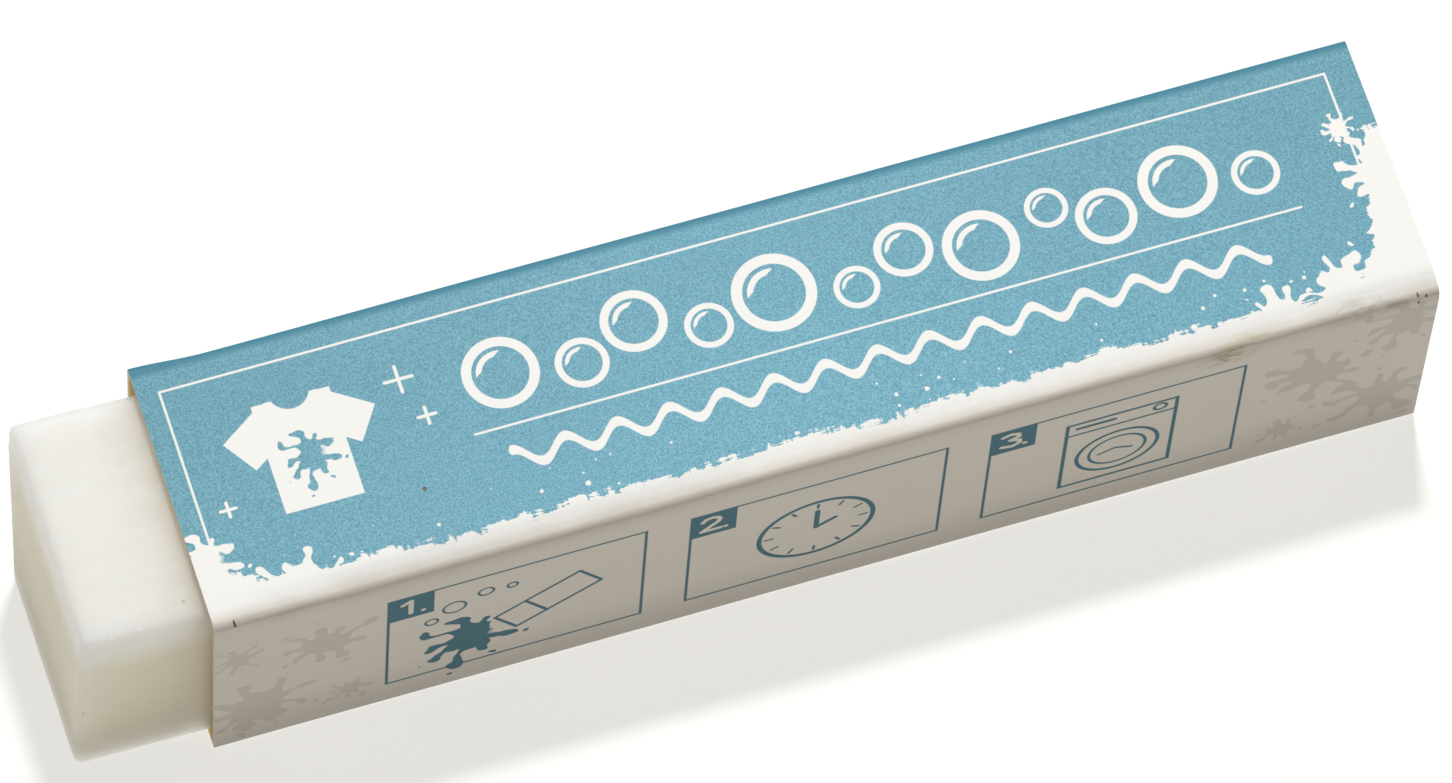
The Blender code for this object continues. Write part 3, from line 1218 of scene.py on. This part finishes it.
class STICK_OT_card_sleeve(bpy.types.Operator):
    """Fold the card blank round the bar: flap, bottom, front, top and back"""
    bl_idname = "stain_stick.make_card_sleeve"
    bl_label = "Make the card sleeve"

    skin: bpy.props.FloatProperty(default=0.00002, unit="LENGTH")
    end_room: bpy.props.FloatProperty(default=0.00004, unit="LENGTH")
    crush_reach: bpy.props.FloatProperty(default=0.0011, unit="LENGTH")
    crush_grip: bpy.props.FloatProperty(default=1.1)
    crush_slant: bpy.props.FloatProperty(default=0.25)
    flare: bpy.props.FloatProperty(default=0.00035, unit="LENGTH")
    flare_reach: bpy.props.FloatProperty(default=0.006, unit="LENGTH")
    columns: bpy.props.IntProperty(default=90)
    rows: bpy.props.IntProperty(default=24)

    def fold_blank(self, look):
        """The outer side of the blank, as one folded strip."""
        width, height = sleeve_width - 2 * self.skin, sleeve_height - 2 * self.skin
        flap_y = glue_low.y - self.skin
        front_y = sleeve_low.y + self.skin
        back_y = sleeve_high.y - self.skin
        low_z = sleeve_low.z + self.skin
        bottom = (sleeve_middle.x, (front_y + flap_y) / 2, low_z)
        bpy.ops.mesh.primitive_plane_add(size=1.0, location=bottom)
        sleeve = named("folded_card_sleeve")
        sleeve.scale = (sleeve_length - 2 * self.end_room, flap_y - front_y, 1.0)
        bpy.ops.object.transform_apply(location=True, rotation=True, scale=True)
        bpy.ops.object.mode_set(mode="EDIT")
        pick(sleeve, "EDGE", lambda edge: lengthwise(edge) and middle(edge).y < sleeve_middle.y)
        for step in ((0, 0, height), (0, back_y - front_y, 0), (0, 0, look.seam_edge_gap - height)):
            bpy.ops.mesh.extrude_region_move(TRANSFORM_OT_translate={"value": step})
        flap_fold = Vector((sleeve_middle.x, flap_y, low_z))
        pick(sleeve, "EDGE", lambda edge: lengthwise(edge) and middle(edge).y > sleeve_middle.y
             and (middle(edge) - flap_fold).length < look.card_thickness)
        bpy.ops.mesh.extrude_region_move(TRANSFORM_OT_translate={"value": (0, 0, look.flap_depth)})
        bpy.ops.transform.resize(value=(1 - 2 * look.flap_taper / sleeve_length, 1, 1))
        bpy.ops.mesh.select_all(action="SELECT")
        bpy.ops.mesh.normals_make_consistent(inside=False)
        return sleeve

    def crease_and_divide(self, sleeve, look):
        """Round the folds, then divide the panels so that they can wave."""
        pick(sleeve, "EDGE", lambda edge: lengthwise(edge) and middle(edge).y < sleeve_middle.y
             and middle(edge).z > sleeve_middle.z)
        bpy.ops.mesh.bevel(offset=look.worn_fold_radius, segments=6, affect="EDGES")
        pick(sleeve, "EDGE", lambda edge: lengthwise(edge) and edge.calc_face_angle(0.0) > fold_angle)
        bpy.ops.mesh.bevel(offset=look.fold_radius, segments=5, affect="EDGES")
        pick(sleeve, "EDGE", lengthwise)
        bpy.ops.mesh.subdivide(number_cuts=self.columns)
        least_panel = 5 * look.fold_radius
        pick(sleeve, "EDGE", lambda edge: not lengthwise(edge) and edge.calc_length() > least_panel)
        bpy.ops.mesh.subdivide(number_cuts=self.rows)

    def crush_front_fold(self, sleeve, look):
        """Push the fold between front and top down and a little inwards, from each place on."""
        for along, push in fold_crushes:
            spot = Vector((mouth_x + along * mm, sleeve_low.y, sleeve_high.z))
            pick(sleeve, "VERT", lambda corner: corner.co.x > spot.x
                 and (corner.co - spot).yz.length < look.worn_fold_radius * self.crush_grip)
            push_softly((0, push * mm * self.crush_slant, -push * mm), self.crush_reach)

    def flare_mouth(self, sleeve, look):
        """Spread the back panel and the flap a little at the mouth, where the bar has pushed them."""
        pick(sleeve, "VERT", lambda corner: corner.co.x < mouth_x + look.card_thickness
             and corner.co.y > glue_low.y - look.card_thickness)
        push_softly((0, self.flare, 0), self.flare_reach)
        bpy.ops.object.mode_set(mode="OBJECT")

    def make_card(self, sleeve, look):
        """Thicken the blank inwards: the inside takes the second material, and the cut edges the third."""
        for make in (back_material, inside_material, cut_edge_material, top_material, front_material):
            sleeve.data.materials.append(make(look))
        apply_modifier(sleeve, "SOLIDIFY", thickness=look.card_thickness, offset=-1.0, use_even_offset=True,
                       material_offset=1, material_offset_rim=2)
        back, top, front = 0, 3, 4
        for face in sleeve.data.polygons:
            if face.material_index == back and face.normal.z > abs(face.normal.y):
                face.material_index = top
            elif face.material_index == back and face.normal.y < -abs(face.normal.z):
                face.material_index = front

    def execute(self, context):
        look = context.scene.sleeve_look
        start_clean()
        sleeve = self.fold_blank(look)
        self.crease_and_divide(sleeve, look)
        self.crush_front_fold(sleeve, look)
        self.flare_mouth(sleeve, look)
        ripple(sleeve, "panel_waves", size=0.024, depth=1, strength=look.waviness, level=0.7)
        self.make_card(sleeve, look)
        bpy.ops.object.shade_smooth_by_angle(angle=smooth_angle)
        settle(sleeve, "sleeve", "card", "card_sleeve")
        return {"FINISHED"}


class STICK_OT_glue_strip(bpy.types.Operator):
    """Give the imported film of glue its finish"""
    bl_idname = "stain_stick.finish_glue_strip"
    bl_label = "Finish the glue strip"

    def execute(self, context):
        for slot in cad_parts["glue_strip"].material_slots:
            slot.material = glue_material()
        return {"FINISHED"}


class STICK_OT_stage(bpy.types.Operator):
    """Set the floor, the soft studio light and the camera"""
    bl_idname = "stain_stick.set_stage"
    bl_label = "Set the stage"

    key_azimuth: bpy.props.FloatProperty(default=math.radians(160), subtype="ANGLE")
    key_elevation: bpy.props.FloatProperty(default=math.radians(69), subtype="ANGLE")
    key_distance: bpy.props.FloatProperty(default=1.1, unit="LENGTH")
    key_side: bpy.props.FloatProperty(default=0.09, unit="LENGTH")
    floor_gap: bpy.props.FloatProperty(default=0.00002, unit="LENGTH")

    def away(self, azimuth, elevation):
        """The direction from the stick towards a place round it."""
        out = math.cos(elevation)
        return Vector((math.sin(azimuth) * out, -math.cos(azimuth) * out, math.sin(elevation)))

    def add_floor(self, look):
        bpy.ops.mesh.primitive_grid_add(x_subdivisions=8, y_subdivisions=8, size=look.floor_side,
                                        location=(0, 0, cad_low.z - self.floor_gap))
        ground = named("studio_floor")
        bpy.ops.object.transform_apply(location=True, rotation=True, scale=True)
        ground.data.materials.append(floor_material(look))

    def add_key(self, look):
        place = self.away(self.key_azimuth, self.key_elevation)
        lamp = bpy.data.lights.new("key_soft_box", "AREA")
        lamp.shape = "RECTANGLE"
        lamp.size = self.key_side
        lamp.size_y = self.key_side
        lamp.energy = look.key_power
        key = bpy.data.objects.new("key_soft_box", lamp)
        key.location = place * self.key_distance
        key.rotation_euler = place.to_track_quat("Z", "Y").to_euler()
        key.visible_camera = False
        bpy.context.scene.collection.objects.link(key)

    def add_sky(self, look):
        world = bpy.data.worlds.new("even_sky")
        world.use_nodes = True
        background = world.node_tree.nodes["Background"].inputs
        background["Color"].default_value = sky_colour
        background["Strength"].default_value = look.sky_strength
        bpy.context.scene.world = world

    def add_camera(self):
        lens = bpy.data.cameras.new("photo_camera")
        lens.sensor_width = sensor_width
        lens.lens = focal_pixels / photo_width * sensor_width
        camera = bpy.data.objects.new("photo_camera", lens)
        back = self.away(camera_azimuth, camera_elevation)
        turn = back.to_track_quat("Z", "Y").to_matrix() @ Matrix.Rotation(camera_roll, 3, "Z")
        camera.matrix_world = Matrix.Translation(camera_aim + back * camera_distance) @ turn.to_4x4()
        bpy.context.scene.collection.objects.link(camera)
        bpy.context.scene.camera = camera

    def execute(self, context):
        look = context.scene.stage_look
        start_clean()
        self.add_floor(look)
        self.add_key(look)
        self.add_sky(look)
        self.add_camera()
        context.scene.view_settings.view_transform = "Standard"
        return {"FINISHED"}


class STICK_PT_panel(bpy.types.Panel):
    """Lists the stick's pieces and their settings"""
    bl_label = "Stain remover stick"
    bl_idname = "STICK_PT_panel"
    bl_space_type = "VIEW_3D"
    bl_region_type = "UI"
    bl_category = "Stick"

    def draw(self, context):
        for operator, look in (
            (STICK_OT_soap_bar, context.scene.soap_look),
            (STICK_OT_card_sleeve, context.scene.sleeve_look),
            (STICK_OT_glue_strip, None),
            (STICK_OT_stage, context.scene.stage_look),
        ):
            column = self.layout.column()
            column.operator(operator.bl_idname)
            for name in look.__annotations__ if look else ():
                column.prop(look, name)


classes = (
    SoapLook, SleeveLook, StageLook, STICK_OT_soap_bar, STICK_OT_card_sleeve, STICK_OT_glue_strip,
    STICK_OT_stage, STICK_PT_panel,
)


def register():
    for each in classes:
        bpy.utils.register_class(each)
    bpy.types.Scene.soap_look = bpy.props.PointerProperty(type=SoapLook)
    bpy.types.Scene.sleeve_look = bpy.props.PointerProperty(type=SleeveLook)
    bpy.types.Scene.stage_look = bpy.props.PointerProperty(type=StageLook)


def unregister():
    for name in ("soap_look", "sleeve_look", "stage_look"):
        delattr(bpy.types.Scene, name)
    for each in reversed(classes):
        bpy.utils.unregister_class(each)


def main():
    register()
    make_groups()
    bpy.ops.stain_stick.make_soap_bar()
    bpy.ops.stain_stick.make_card_sleeve()
    bpy.ops.stain_stick.finish_glue_strip()
    bpy.ops.stain_stick.set_stage()


if __name__ == "__main__":
    main()
